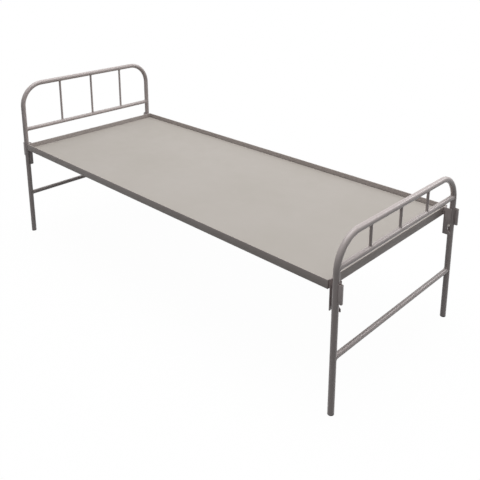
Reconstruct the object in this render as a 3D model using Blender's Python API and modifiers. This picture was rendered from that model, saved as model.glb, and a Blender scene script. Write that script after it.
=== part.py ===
"""Plain knock-down ward bed of steel angle and bent tube.

The length runs along X with the head at -X, the width along Y and the height along +Z.
The origin is on the floor under the middle of the bed. All sizes are in metres.
"""

import math

import bmesh
import bpy
from mathutils import Matrix, Vector

# Welded joints keep this gap, so each piece stays a solid of its own.
WELD_GAP = 0.0003

# Legs and bows
LEG_X = 1.065
LEG_Y = 0.427
BOW_TUBE_OD = 0.0254
BOW_TUBE_WALL = 0.0016
BEND_RADIUS = 0.120
HEAD_TOP_Z = 0.866
FOOT_TOP_Z = 0.694
HEAD_MID_Z = 0.614
FOOT_MID_Z = 0.586
STRETCHER_Z = 0.235
BAR_OD = 0.0222
BAR_WALL = 0.0014
UPRIGHT_OD = 0.012
UPRIGHT_COUNT = 3
UPRIGHT_SPACING = 0.207
# Both bows are made alike, with the uprights a little to the left seen from outside.
UPRIGHT_OFFSET = 0.016
BOW_R = BOW_TUBE_OD / 2
BAR_R = BAR_OD / 2

# Leg plugs
PLUG_FLANGE = 0.0047
PLUG_EDGE_RADIUS = 0.002
PLUG_STEM = 0.022
LEG_FOOT_Z = PLUG_FLANGE + WELD_GAP

# Deck frame of rolled angle: the upright flange is on the outside, the other points inwards.
# It is placed from the faces of the leg tubes.
ANGLE_SIZE = 0.035
ANGLE_THICKNESS = 0.004
ANGLE_ROOT_RADIUS = 0.0025
ANGLE_TOE_RADIUS = 0.002
HEAD_END_CLEARANCE = 0.0083
FOOT_END_CLEARANCE = 0.0163
RAIL_INSIDE_LEGS = 0.0047
FRAME_TOP_Z = 0.535
FRAME_HEAD_X = BOW_R + HEAD_END_CLEARANCE - LEG_X
FRAME_FOOT_X = LEG_X - BOW_R - FOOT_END_CLEARANCE
FRAME_HALF_WIDTH = LEG_Y + BOW_R - RAIL_INSIDE_LEGS
FRAME_BOTTOM_Z = FRAME_TOP_Z - ANGLE_SIZE
FLANGE_TOP_Z = FRAME_BOTTOM_Z + ANGLE_THICKNESS

# Deck panel: a shallow tray upside down, with its turned edges on the lower flanges
DECK_HEIGHT = 0.008
DECK_SHEET = 0.0015
DECK_FOLD_RADIUS = 0.003
DECK_SIDE_CLEARANCE = 0.0003
DECK_INSET = ANGLE_THICKNESS + ANGLE_ROOT_RADIUS + DECK_SIDE_CLEARANCE
DECK_TOP_Z = FLANGE_TOP_Z + DECK_HEIGHT

# Folded channels under the panel, spaced evenly between the end rails
CROSSBAR_COUNT = 4
CROSSBAR_WIDTH = 0.040
CROSSBAR_DEPTH = 0.026
CROSSBAR_SHEET = 0.002
CROSSBAR_FOLD_RADIUS = 0.003
CROSSBAR_END_CLEARANCE = 0.0005
CROSSBAR_NOTCH_CLEARANCE = 0.002

# Corner brackets, given from the leg's centreline: "out" is away from the bed along X,
# "in" is towards the bed's middle along Y, "drop" is down from the top of the frame.
PLATE = 0.003
PLATE_FOLD_RADIUS = 0.002
BRACKET_LEG_CLEARANCE = 0.0073
BRACKET_OUTER_EDGE = 0.008
BRACKET_TOP_DROP = 0.0
BRACKET_BOTTOM_DROP = 0.123
BRACKET_WING_WIDTH = 0.021
BRACKET_TOP_RADIUS = 0.0015
BRACKET_CORNER_RADIUS = 0.004
BRACKET_IN = BOW_R + BRACKET_LEG_CLEARANCE

# The stud on the leg and the hook's slot, whose points are (out, down) from the stud
STUD_OUT = 0.0
STUD_DROP = 0.077
STUD_SHANK_DIAMETER = 0.008
STUD_HEAD_DIAMETER = 0.012
STUD_HEAD_HEIGHT = 0.004
STUD_HEAD_CHAMFER = 0.0012
SLOT_TOP_RISE = 0.003
SLOT_INNER_RADIUS = 0.002
SLOT_INNER_TOP = (-0.012, 0.011)
SLOT_INNER_LOW = (-0.012, 0.018)
SLOT_TIP = (0.008, 0.0334)

# Rod sockets on the outer face of the legs
SOCKET_DEPTH = 0.0153
SOCKET_WIDTH = 0.0117
SOCKET_SHEET = 0.0016
SOCKET_FOLD_RADIUS = 0.0026
SOCKET_TOP_DROP = 0.001
SOCKET_HEIGHT = 0.0745
SOCKET_REACH = BOW_R + SOCKET_DEPTH

# Facets round a tube, a rod and a stud, and steps in each bend
TUBE_SIDES = 20
ROD_SIDES = 16
STUD_SIDES = 20
BEND_STEPS = 10


def new_collection(name):
    """A collection of the scene."""
    made = bpy.data.collections.new(name)
    bpy.context.scene.collection.children.link(made)
    return made


def new_material(name, colour, roughness, metallic=0.0):
    """A Principled material."""
    made = bpy.data.materials.new(name)
    made.use_nodes = True
    shader = made.node_tree.nodes["Principled BSDF"]
    shader.inputs["Base Color"].default_value = (*colour, 1.0)
    shader.inputs["Roughness"].default_value = roughness
    shader.inputs["Metallic"].default_value = metallic
    made.diffuse_color = (*colour, 1.0)
    return made


for opened in list(bpy.data.objects):
    bpy.data.objects.remove(opened, do_unlink=True)

BED = new_collection("ward_bed")
CUTTERS = new_collection("cutters")
FRAME_PAINT = new_material("frame_paint", (0.165, 0.155, 0.148), 0.42)
DECK_PAINT = new_material("deck_paint", (0.50, 0.475, 0.43), 0.5)
PLUG_PLASTIC = new_material("plug_plastic", (0.035, 0.034, 0.033), 0.55)
STUD_ZINC = new_material("stud_zinc", (0.42, 0.41, 0.40), 0.35, 0.9)


def piece(name, bm, material=None):
    """Turns a bmesh into an object of the bed, or into a cutter where it has no material."""
    bmesh.ops.recalc_face_normals(bm, faces=bm.faces)
    mesh = bpy.data.meshes.new(name)
    bm.to_mesh(mesh)
    bm.free()
    obj = bpy.data.objects.new(name, mesh)
    if material is None:
        CUTTERS.objects.link(obj)
        obj.hide_render = True
        obj.display_type = "WIRE"
        return obj
    BED.objects.link(obj)
    mesh.materials.append(material)
    mesh.shade_smooth()
    mesh.set_sharp_from_angle(angle=math.radians(35))
    return obj


def cut(obj, cutter):
    """Cuts a piece with a cutter."""
    boolean = obj.modifiers.new("cut", "BOOLEAN")
    boolean.operation = "DIFFERENCE"
    boolean.solver = "EXACT"
    boolean.object = cutter
    return obj


def give_thickness(obj, thickness, offset):
    """Gives a drawn sheet its thickness: offset -1 keeps the drawn face outside, 0 keeps it in the middle."""
    solid = obj.modifiers.new("sheet", "SOLIDIFY")
    solid.thickness = thickness
    solid.offset = offset
    solid.use_even_offset = True
    return obj


def moved(bm, matrix):
    """The same bmesh in another place."""
    bmesh.ops.transform(bm, matrix=matrix, verts=bm.verts)
    return bm


def box(low, high):
    """A box between two corners."""
    bm = bmesh.new()
    low, high = Vector(low), Vector(high)
    size = Matrix.Diagonal((*(high - low), 1.0))
    bmesh.ops.create_cube(bm, size=1.0, matrix=Matrix.Translation((low + high) / 2) @ size)
    return bm


def rounded(bm, radius, steps, chosen):
    """Rounds the edges that a test picks by the places of their two ends."""
    edges = [e for e in bm.edges if chosen(e.verts[0].co, e.verts[1].co)]
    bmesh.ops.bevel(
        bm,
        geom=edges,
        offset=radius,
        offset_type="OFFSET",
        affect="EDGES",
        segments=steps,
        profile=0.5,
        material=-1,
    )
    return bm


def rod(start, end, radius, sides):
    """A round bar between two points."""
    bm = bmesh.new()
    start, end = Vector(start), Vector(end)
    axis = end - start
    turn = axis.to_track_quat("Z", "Y").to_matrix().to_4x4()
    bmesh.ops.create_cone(
        bm,
        cap_ends=True,
        segments=sides,
        radius1=radius,
        radius2=radius,
        depth=axis.length,
        matrix=Matrix.Translation((start + end) / 2) @ turn,
    )
    return bm


def turned(profile, sides):
    """A solid turned about Z from (radius, height) points that start and end on the axis."""
    bm = bmesh.new()
    verts = [bm.verts.new((r, 0.0, z)) for r, z in profile]
    edges = [bm.edges.new(pair) for pair in zip(verts, verts[1:])]
    bmesh.ops.spin(
        bm,
        geom=verts + edges,
        cent=(0, 0, 0),
        axis=(0, 0, 1),
        angle=math.tau,
        steps=sides,
        use_merge=True,
    )
    bmesh.ops.remove_doubles(bm, verts=bm.verts, dist=1e-6)
    return bm


def curve_mesh(curve):
    """The closed mesh of a curve, whose caps come loose."""
    holder = bpy.data.objects.new("holder", curve)
    BED.objects.link(holder)
    evaluated = holder.evaluated_get(bpy.context.evaluated_depsgraph_get())
    mesh = bpy.data.meshes.new_from_object(evaluated)
    bm = bmesh.new()
    bm.from_mesh(mesh)
    bmesh.ops.remove_doubles(bm, verts=bm.verts, dist=1e-6)
    bpy.data.objects.remove(holder, do_unlink=True)
    bpy.data.curves.remove(curve)
    bpy.data.meshes.remove(mesh)
    return bm


def swept(points, radius, sides):
    """A round bar along a line of points."""
    curve = bpy.data.curves.new("sweep", "CURVE")
    curve.dimensions = "3D"
    curve.bevel_depth = radius
    curve.bevel_resolution = (sides - 4) // 2
    curve.use_fill_caps = True
    spline = curve.splines.new("POLY")
    spline.points.add(len(points) - 1)
    for point, place in zip(spline.points, points):
        point.co = (*place, 1.0)
    return curve_mesh(curve)


def profile_bar(outline, length):
    """A flat outline in XY, extruded evenly to both sides of it."""
    curve = bpy.data.curves.new("profile", "CURVE")
    curve.dimensions = "2D"
    curve.fill_mode = "BOTH"
    curve.extrude = length / 2
    spline = curve.splines.new("POLY")
    spline.use_cyclic_u = True
    spline.points.add(len(outline) - 1)
    for point, (x, y) in zip(spline.points, outline):
        point.co = (x, y, 0.0, 1.0)
    return curve_mesh(curve)


def arc(centre, radius, start, end, steps):
    """Points round part of a circle, with angles in degrees."""
    angles = (math.radians(start + (end - start) * i / steps) for i in range(steps + 1))
    return [(centre[0] + radius * math.cos(a), centre[1] + radius * math.sin(a)) for a in angles]


def rolled_section():
    """The angle's section, with a rolled bar's rounded toes and root."""
    t, size = ANGLE_THICKNESS, ANGLE_SIZE
    toe, root = ANGLE_TOE_RADIUS, ANGLE_ROOT_RADIUS
    return [
        (0, 0),
        (size, 0),
        *arc((size - toe, t - toe), toe, 0, 90, 3),
        *arc((t + root, t + root), root, 270, 180, 3),
        *arc((t - toe, size - toe), toe, 0, 90, 3),
        (0, size),
    ]


def angle_rail(name, outer_length, matrix):
    """A mitred angle. It is drawn along X with its outer face at Y = 0 and its flange towards +Y."""
    # The section's X becomes Y, its Y becomes Z and the extrusion runs along X.
    stand = Matrix(((0, 0, 1, 0), (1, 0, 0, 0), (0, 1, 0, 0), (0, 0, 0, 1)))
    bm = moved(profile_bar(rolled_section(), outer_length), stand)
    for end in (-1, 1):
        mitre = bmesh.ops.bisect_plane(
            bm,
            geom=[*bm.verts, *bm.edges, *bm.faces],
            plane_co=(end * (outer_length / 2 - WELD_GAP / 2), 0, 0),
            plane_no=(end, 1, 0),
            clear_outer=True,
            dist=1e-7,
        )
        rim = [e for e in mitre["geom_cut"] if isinstance(e, bmesh.types.BMEdge)]
        bmesh.ops.edgeloop_fill(bm, edges=rim)
    return piece(name, moved(bm, matrix), FRAME_PAINT)


def make_frame():
    """The four mitred angles."""
    length = FRAME_FOOT_X - FRAME_HEAD_X
    middle = (FRAME_FOOT_X + FRAME_HEAD_X) / 2
    width = 2 * FRAME_HALF_WIDTH
    rails = {
        "side_rail_near": (length, (middle, -FRAME_HALF_WIDTH), 0),
        "side_rail_far": (length, (middle, FRAME_HALF_WIDTH), 180),
        "end_rail_head": (width, (FRAME_HEAD_X, 0), -90),
        "end_rail_foot": (width, (FRAME_FOOT_X, 0), 90),
    }
    for name, (outer_length, (x, y), turn) in rails.items():
        place = Matrix.Translation((x, y, FRAME_BOTTOM_Z)) @ Matrix.Rotation(math.radians(turn), 4, "Z")
        angle_rail(name, outer_length, place)


def make_deck_panel():
    """The sheet tray: a box with rounded folds and no bottom, given the sheet's thickness."""
    low = (FRAME_HEAD_X + DECK_INSET, DECK_INSET - FRAME_HALF_WIDTH, FLANGE_TOP_Z + WELD_GAP)
    high = (FRAME_FOOT_X - DECK_INSET, FRAME_HALF_WIDTH - DECK_INSET, DECK_TOP_Z)
    middle_z = (low[2] + high[2]) / 2
    bm = rounded(box(low, high), DECK_FOLD_RADIUS, 3, lambda a, b: max(a.z, b.z) > middle_z)
    bottom = [f for f in bm.faces if f.normal.z < -0.5]
    bmesh.ops.delete(bm, geom=bottom, context="FACES_ONLY")
    give_thickness(piece("deck_panel", bm, DECK_PAINT), DECK_SHEET, -1)


def make_deck_crossbar(name, x):
    """A folded channel, open downwards, whose sides are notched where they rest on the side rails."""
    half = CROSSBAR_WIDTH / 2
    reach = FRAME_HALF_WIDTH - DECK_INSET - DECK_FOLD_RADIUS - CROSSBAR_END_CLEARANCE
    top = DECK_TOP_Z - DECK_SHEET - WELD_GAP
    bottom = top - CROSSBAR_DEPTH
    seat = FLANGE_TOP_Z + WELD_GAP
    past = 0.01

    def is_fold(a, b):
        return min(a.z, b.z) > (top + bottom) / 2 and abs(a.x - b.x) < 1e-6

    outside = box((x - half, -reach, bottom), (x + half, reach, top))
    channel = piece(name, rounded(outside, CROSSBAR_FOLD_RADIUS, 3, is_fold), DECK_PAINT)
    inner = half - CROSSBAR_SHEET
    hollow = box((x - inner, -reach - past, bottom - past), (x + inner, reach + past, top - CROSSBAR_SHEET))
    cut(channel, piece(name + "_hollow", rounded(hollow, CROSSBAR_FOLD_RADIUS - CROSSBAR_SHEET, 3, is_fold)))
    notch_start = FRAME_HALF_WIDTH - ANGLE_SIZE - CROSSBAR_NOTCH_CLEARANCE
    for side, label in ((-1, "near"), (1, "far")):
        y_low, y_high = sorted((side * notch_start, side * (reach + past)))
        notch = box((x - half - past, y_low, bottom - past), (x + half + past, y_high, seat))
        cut(channel, piece(f"{name}_notch_{label}", notch))


def bow_line(x, top_z, foot_z):
    """The centreline of a bow: up one leg, over the top bar and down the other leg."""
    near_bend = arc((BEND_RADIUS - LEG_Y, top_z - BEND_RADIUS), BEND_RADIUS, 180, 90, BEND_STEPS)
    far_bend = arc((LEG_Y - BEND_RADIUS, top_z - BEND_RADIUS), BEND_RADIUS, 90, 0, BEND_STEPS)
    outline = [(-LEG_Y, foot_z), *near_bend, *far_bend, (LEG_Y, foot_z)]
    return [(x, y, z) for y, z in outline]


def tube_between(name, x, z, outer_radius, wall, bow_skin):
    """A tube between the legs, with its ends shaped to fit round them."""
    tube = piece(name, rod((x, -LEG_Y, z), (x, LEG_Y, z), outer_radius, TUBE_SIDES), FRAME_PAINT)
    past = LEG_Y + 0.02
    bore = rod((x, -past, z), (x, past, z), outer_radius - wall, TUBE_SIDES)
    cut(tube, piece(name + "_bore", bore))
    cut(tube, bow_skin)


def make_upright(name, x, y, low_z, high_z, bow_skin):
    """A rod from the mid bar to the top bar, with its ends shaped to fit round them."""
    upright = piece(name, rod((x, y, low_z), (x, y, high_z), UPRIGHT_OD / 2, ROD_SIDES), FRAME_PAINT)
    bar_skin = rod((x, y - 0.03, low_z), (x, y + 0.03, low_z), BAR_R + WELD_GAP, 2 * TUBE_SIDES)
    cut(upright, piece(name + "_bar_skin", bar_skin))
    cut(upright, bow_skin)


def make_plug(name, x, y):
    """A turned plug: a stem inside the leg and a flange, rounded at the floor, under it."""
    stem_radius = BOW_R - BOW_TUBE_WALL - WELD_GAP
    edge = PLUG_EDGE_RADIUS
    profile = [
        (0, PLUG_FLANGE + PLUG_STEM),
        (stem_radius, PLUG_FLANGE + PLUG_STEM),
        (stem_radius, PLUG_FLANGE),
        (BOW_R, PLUG_FLANGE),
        *arc((BOW_R - edge, edge), edge, 0, -90, 4),
        (0, 0),
    ]
    piece(name, moved(turned(profile, TUBE_SIDES), Matrix.Translation((x, y, 0))), PLUG_PLASTIC)


def make_bow(end, sign, top_z, mid_z):
    """One bow: its bent tube, mid bar, stretcher, uprights and plugs. Returns what fits round the tube."""
    x = sign * LEG_X
    bow = piece(end + "_bow_tube", swept(bow_line(x, top_z, LEG_FOOT_Z), BOW_R, TUBE_SIDES), FRAME_PAINT)
    longer = bow_line(x, top_z, LEG_FOOT_Z - 0.01)
    cut(bow, piece(end + "_bow_bore", swept(longer, BOW_R - BOW_TUBE_WALL, TUBE_SIDES)))
    bow_skin = piece(end + "_bow_skin", swept(longer, BOW_R + WELD_GAP, 2 * TUBE_SIDES))
    tube_between(end + "_mid_bar", x, mid_z, BAR_R, BAR_WALL, bow_skin)
    tube_between(end + "_stretcher", x, STRETCHER_Z, BAR_R, BAR_WALL, bow_skin)
    for number in range(1, UPRIGHT_COUNT + 1):
        y = (number - (UPRIGHT_COUNT + 1) / 2) * UPRIGHT_SPACING - sign * UPRIGHT_OFFSET
        make_upright(f"{end}_upright_{number}", x, y, mid_z, top_z, bow_skin)
    make_plug(end + "_plug_near", x, -LEG_Y)
    make_plug(end + "_plug_far", x, LEG_Y)
    return bow_skin


def corner_place(end_sign, side_sign):
    """From (out, in, up) at a corner to the bed, measured from the leg's axis at the frame's top."""
    return Matrix(
        (
            (end_sign, 0, 0, end_sign * LEG_X),
            (0, -side_sign, 0, side_sign * LEG_Y),
            (0, 0, 1, FRAME_TOP_Z),
            (0, 0, 0, 1),
        )
    )


def hook_outline(inner_edge):
    """The hook plate seen square on, as (out, up) points that start and end on the folded edge."""
    seat_radius = STUD_SHANK_DIAMETER / 2 + WELD_GAP
    stud = Vector((STUD_OUT, -STUD_DROP))
    inner_top, inner_low, tip = (
        stud + Vector((out, -down)) for out, down in (SLOT_INNER_TOP, SLOT_INNER_LOW, SLOT_TIP)
    )
    top, bottom = -BRACKET_TOP_DROP, -BRACKET_BOTTOM_DROP
    outer, inner_r = BRACKET_OUTER_EDGE, SLOT_INNER_RADIUS
    top_r, low_r = BRACKET_TOP_RADIUS, BRACKET_CORNER_RADIUS
    return [
        (inner_edge, top),
        *arc((outer - top_r, top - top_r), top_r, 90, 0, 3),
        (outer, stud.y + SLOT_TOP_RISE),
        (stud.x + seat_radius, stud.y - WELD_GAP),
        *arc(stud, seat_radius, 0, 180, 8)[1:],
        tuple(inner_top),
        *arc((inner_low.x + inner_r, inner_low.y + inner_r), inner_r, 180, 240, 3),
        tuple(tip),
        *arc((outer - low_r, bottom + low_r), low_r, 0, -90, 4),
        (inner_edge, bottom),
    ]


def make_hook_bracket(name, frame_face, place):
    """A folded plate: its middle surface is drawn, turned round the fold and given its thickness."""
    fold = PLATE_FOLD_RADIUS + PLATE / 2
    wing_out = frame_face + WELD_GAP - LEG_X + PLATE / 2
    plate_in = BRACKET_IN + PLATE / 2
    bm = bmesh.new()
    verts = [bm.verts.new((out, plate_in, up)) for out, up in hook_outline(wing_out + fold)]
    bm.faces.new(verts)
    edge = bm.edges.get((verts[-1], verts[0]))
    folded = bmesh.ops.spin(
        bm,
        geom=[edge],
        cent=(wing_out + fold, plate_in - fold, 0),
        axis=(0, 0, 1),
        angle=math.radians(90),
        steps=4,
    )
    edge = next(g for g in folded["geom_last"] if isinstance(g, bmesh.types.BMEdge))
    wing = bmesh.ops.extrude_edge_only(bm, edges=[edge])
    ends = [g for g in wing["geom"] if isinstance(g, bmesh.types.BMVert)]
    bmesh.ops.translate(bm, verts=ends, vec=(0, fold + PLATE / 2 - BRACKET_WING_WIDTH, 0))
    hook = piece(name + "_hook_bracket", moved(bm, place), FRAME_PAINT)
    give_thickness(hook, PLATE, 0)


def make_hook_stud(name, place, bow_skin):
    """The stud that the hook hangs on: a shank, shaped to fit round the leg, and a chamfered head."""
    shank = STUD_SHANK_DIAMETER / 2
    head = STUD_HEAD_DIAMETER / 2
    under_head = BRACKET_IN + PLATE + WELD_GAP
    end = under_head + STUD_HEAD_HEIGHT
    profile = [
        (0, 0),
        (shank, 0),
        (shank, under_head),
        (head, under_head),
        (head, end - STUD_HEAD_CHAMFER),
        (head - STUD_HEAD_CHAMFER, end),
        (0, end),
    ]
    # The turned axis Z becomes the corner's "in".
    lay = Matrix(((1, 0, 0, STUD_OUT), (0, 0, 1, 0), (0, -1, 0, -STUD_DROP), (0, 0, 0, 1)))
    stud = moved(turned(profile, STUD_SIDES), place @ lay)
    cut(piece(name + "_hook_stud", stud, STUD_ZINC), bow_skin)


def make_rod_socket(name, place, bow_skin):
    """An open-topped pocket of folded sheet, welded to the outer face of the leg."""
    half = SOCKET_WIDTH / 2
    wall = SOCKET_SHEET
    top, bottom = -SOCKET_TOP_DROP, -SOCKET_TOP_DROP - SOCKET_HEIGHT

    def is_fold(a, b):
        return min(a.x, b.x) > 0 and abs(a.z - b.z) > SOCKET_SHEET

    outside = rounded(box((0, -half, bottom), (SOCKET_REACH, half, top)), SOCKET_FOLD_RADIUS, 3, is_fold)
    socket = piece(name + "_rod_socket", moved(outside, place), FRAME_PAINT)
    pocket = box((-0.005, wall - half, bottom + wall), (SOCKET_REACH - wall, half - wall, top + 0.01))
    pocket = rounded(pocket, SOCKET_FOLD_RADIUS - wall, 3, is_fold)
    cut(socket, piece(name + "_socket_pocket", moved(pocket, place)))
    cut(socket, bow_skin)


make_frame()
make_deck_panel()
crossbar_pitch = (FRAME_FOOT_X - FRAME_HEAD_X) / (CROSSBAR_COUNT + 1)
for number in range(1, CROSSBAR_COUNT + 1):
    make_deck_crossbar(f"deck_crossbar_{number}", FRAME_HEAD_X + number * crossbar_pitch)

for end_name, end_sign, top, middle, face in (
    ("head", -1, HEAD_TOP_Z, HEAD_MID_Z, -FRAME_HEAD_X),
    ("foot", 1, FOOT_TOP_Z, FOOT_MID_Z, FRAME_FOOT_X),
):
    skin = make_bow(end_name, end_sign, top, middle)
    for side_name, side_sign in (("near", -1), ("far", 1)):
        corner = corner_place(end_sign, side_sign)
        corner_name = f"{end_name}_{side_name}"
        make_hook_bracket(corner_name, face, corner)
        make_hook_stud(corner_name, corner, skin)
        make_rod_socket(corner_name, corner, skin)
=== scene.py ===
# %% [markdown]
# # A plain ward bed of welded steel
# The bed comes apart into two bent-tube ends, called bows, and a deck frame that hooks on to them.
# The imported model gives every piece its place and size. This lesson makes each piece again with the
# curves, folds, weld beads and paint that the real one has, and takes what sizes it can from the
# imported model. Lengths are in metres, unless a name ends in MM.

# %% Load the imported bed
import math

import bmesh
import bpy
from mathutils import Matrix, Vector


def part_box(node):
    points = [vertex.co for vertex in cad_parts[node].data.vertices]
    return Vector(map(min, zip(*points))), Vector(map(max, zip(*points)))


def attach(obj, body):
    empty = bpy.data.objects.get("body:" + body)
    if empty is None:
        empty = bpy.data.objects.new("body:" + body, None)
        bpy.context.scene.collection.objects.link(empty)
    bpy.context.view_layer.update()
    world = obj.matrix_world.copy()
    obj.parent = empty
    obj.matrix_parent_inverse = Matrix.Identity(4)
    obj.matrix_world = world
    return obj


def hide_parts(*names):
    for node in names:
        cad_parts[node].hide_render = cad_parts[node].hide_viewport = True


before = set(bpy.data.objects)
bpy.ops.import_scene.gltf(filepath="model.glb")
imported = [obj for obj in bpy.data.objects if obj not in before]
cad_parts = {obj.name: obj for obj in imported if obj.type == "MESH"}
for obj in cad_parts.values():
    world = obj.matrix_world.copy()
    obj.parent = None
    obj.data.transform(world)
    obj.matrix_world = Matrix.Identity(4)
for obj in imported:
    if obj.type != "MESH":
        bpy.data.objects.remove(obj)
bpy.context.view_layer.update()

# %% [markdown]
# ## The camera
# The photograph looks down on the bed from beyond its foot and its near side. Its upright lines
# lean very little for such a high view. So the camera is held nearly level, and the picture is a
# lower part of what its lens sees, as with a shift lens. Three sets of parallel edges, along the
# bed, across it and up its legs, gave the place, the angles and the shift.

# %% Place the camera
SENSOR_WIDTH_MM = 36.0
LENS_MM = 48.442
SHIFT_DOWN = 0.29167  # a share of the picture's width
CAMERA_PLACE = (2.19921, -2.07517, 1.70824)
CAMERA_YAW = math.radians(134.01)
CAMERA_PITCH = math.radians(-14.96)
SEES_AS_FAR_AS = 200.0

camera = bpy.data.objects.new("camera", bpy.data.cameras.new("camera"))
bpy.context.scene.collection.objects.link(camera)
bpy.context.scene.camera = camera
camera.data.sensor_width = SENSOR_WIDTH_MM
camera.data.lens = LENS_MM
camera.data.shift_y = -SHIFT_DOWN
camera.data.clip_end = SEES_AS_FAR_AS
camera.location = CAMERA_PLACE
camera_turn = Matrix.Rotation(CAMERA_YAW, 3, "Z") @ Matrix.Rotation(-CAMERA_PITCH, 3, "Y")
looks_along = camera_turn @ Vector((1, 0, 0))
camera.rotation_euler = looks_along.to_track_quat("-Z", "Y").to_euler()
print("camera looks along", [round(v, 3) for v in looks_along])

# %% [markdown]
# ## Nodes and colours
# Every material below, and the world, is a small tree of nodes. Colours are picked as hex values,
# as a painter's colour card gives them, and Blender's sockets want them linear.

# %% Define how a node and a colour are made
def add_node(tree, kind, settings=None, links=None):
    """Adds a node. Settings go to its properties and inputs, links join sockets to its inputs."""
    node = tree.nodes.new(kind)
    for key, value in (settings or {}).items():
        if isinstance(key, str) and hasattr(node, key):
            setattr(node, key, value)
        else:
            node.inputs[key].default_value = value
    for key, socket in (links or {}).items():
        tree.links.new(socket, node.inputs[key])
    return node


def linear(hex_colour):
    """A hex colour as the linear colour of a socket, by the sRGB curve."""
    shares = (int(hex_colour[place : place + 2], 16) / 255 for place in (1, 3, 5))
    return (*(s / 12.92 if s <= 0.04045 else ((s + 0.055) / 1.055) ** 2.4 for s in shares), 1.0)


print("mid grey #808080 is", round(linear("#808080")[0], 4), "linear")

# %% [markdown]
# ## Light and background
# A wide softbox hangs over the bed, a smaller one stands high beyond its far foot corner and shines
# along the bars, and a weak even light comes from all round. Tube tops shine and upright faces stay
# dark, as in the photograph. The picture's background is plain white, so the world shows white to
# the camera and in reflections, and lights the bed with only its weak value.

# %% Hang the softboxes and set the world
WHITE = linear("#ffffff")
AMBIENT = 0.17
AIM = Vector((0.0, 0.0, 0.5))  # about the middle of the bed
SOFTBOXES = {
    "overhead_softbox": {"place": (-0.2, 0.2, 7.0), "size": (6.5, 6.0), "radiance": 3.8},
    "far_softbox": {"place": (2.8, 6.0, 4.4), "size": (3.4, 2.4), "radiance": 4.4},
}


def hang_softbox(name, place, size, radiance):
    """A rectangle of even light, aimed at the bed."""
    data = bpy.data.lights.new(name, "AREA")
    data.shape = "RECTANGLE"
    data.size, data.size_y = size
    data.energy = radiance * math.pi * size[0] * size[1]  # in watts
    softbox = bpy.data.objects.new(name, data)
    softbox.location = place
    softbox.rotation_euler = (AIM - Vector(place)).to_track_quat("-Z", "Y").to_euler()
    bpy.context.scene.collection.objects.link(softbox)
    print(name, round(data.energy), "W")


for name, softbox in SOFTBOXES.items():
    hang_softbox(name, **softbox)


def looked_at(tree):
    """A socket that is 1 for the camera, in reflections and through glass, and 0 for lighting."""
    path = add_node(tree, "ShaderNodeLightPath").outputs
    either = {"operation": "MAXIMUM"}
    direct = {0: path["Is Camera Ray"], 1: path["Is Glossy Ray"]}
    seen = add_node(tree, "ShaderNodeMath", either, direct)
    through = {0: seen.outputs[0], 1: path["Is Transmission Ray"]}
    return add_node(tree, "ShaderNodeMath", either, through).outputs[0]


world = bpy.data.worlds.new("white_studio")
bpy.context.scene.world = world
world.use_nodes = True
strengths = {"To Min": AMBIENT, "To Max": 1.0}
looked = {"Value": looked_at(world.node_tree)}
level = add_node(world.node_tree, "ShaderNodeMapRange", strengths, looked)
background = world.node_tree.nodes["Background"]
background.inputs["Color"].default_value = WHITE
world.node_tree.links.new(level.outputs[0], background.inputs["Strength"])
bpy.context.scene.view_settings.view_transform = "Standard"
print("world lights with", AMBIENT, "and shows white")

# %% [markdown]
# ## The floor
# The bed stands on a wide pale sheet.

# %% Lay the floor
FLOOR_HALF = 40.0

floor_bm = bmesh.new()
bmesh.ops.create_grid(floor_bm, x_segments=1, y_segments=1, size=FLOOR_HALF)
floor_mesh = bpy.data.meshes.new("floor")
floor_bm.to_mesh(floor_mesh)
floor_bm.free()
floor = bpy.data.objects.new("floor", floor_mesh)
bpy.context.scene.collection.objects.link(floor)
print("floor", 2 * FLOOR_HALF, "m wide")

# %% [markdown]
# ## The floor's white
# The camera sees the floor nearly white, mixed with a small share of its lit surface, so the bed's
# soft shadow still falls on it. Away from the bed it fades to the background's white. What it
# throws back on to the bed is the light of a mid grey.

# %% Paint the floor
FLOOR_SHOWN_LIT = 0.02  # the share of the lit surface that the camera sees near the bed
FLOOR_FADE = (1.3, 2.6)  # from here to there, out from the bed's middle, that share goes to none
FLOOR_LIT_GREY = "#595959"

floor_material = bpy.data.materials.new("floor_white")
floor_material.use_nodes = True
tree = floor_material.node_tree
lit = add_node(tree, "ShaderNodeBsdfDiffuse", {"Color": linear(FLOOR_LIT_GREY)})
shown = add_node(tree, "ShaderNodeBsdfDiffuse", {"Color": WHITE})
white = add_node(tree, "ShaderNodeEmission", {"Color": WHITE, "Strength": 1.0})
place = add_node(tree, "ShaderNodeTexCoord").outputs["Object"]
distance = add_node(tree, "ShaderNodeVectorMath", {"operation": "LENGTH"}, {0: place})
fade = add_node(
    tree,
    "ShaderNodeMapRange",
    {
        "interpolation_type": "SMOOTHSTEP",
        "From Min": FLOOR_FADE[0],
        "From Max": FLOOR_FADE[1],
        "To Min": FLOOR_SHOWN_LIT,
        "To Max": 0.0,
    },
    {"Value": distance.outputs["Value"]},
)
white_or_shown = {0: fade.outputs[0], 1: white.outputs[0], 2: shown.outputs[0]}
near_white = add_node(tree, "ShaderNodeMixShader", {}, white_or_shown)
lit_or_near_white = {0: looked_at(tree), 1: lit.outputs[0], 2: near_white.outputs[0]}
chosen = add_node(tree, "ShaderNodeMixShader", {}, lit_or_near_white)
tree.links.new(chosen.outputs[0], tree.nodes["Material Output"].inputs["Surface"])
tree.nodes.remove(tree.nodes["Principled BSDF"])
floor.data.materials.append(floor_material)
print("floor white from", FLOOR_FADE[1], "m out")

# %% [markdown]
# ## Finishing a piece
# Each piece is drawn as a bmesh and then made an object. Its place stays in its mesh, it rides on
# the bed's one body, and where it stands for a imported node, that node is no longer shown.

# %% Define how a piece is finished
FILED_STEPS = 2
FILED_ABOVE = 50.0  # edges sharper than this, in degrees, are filed


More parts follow.
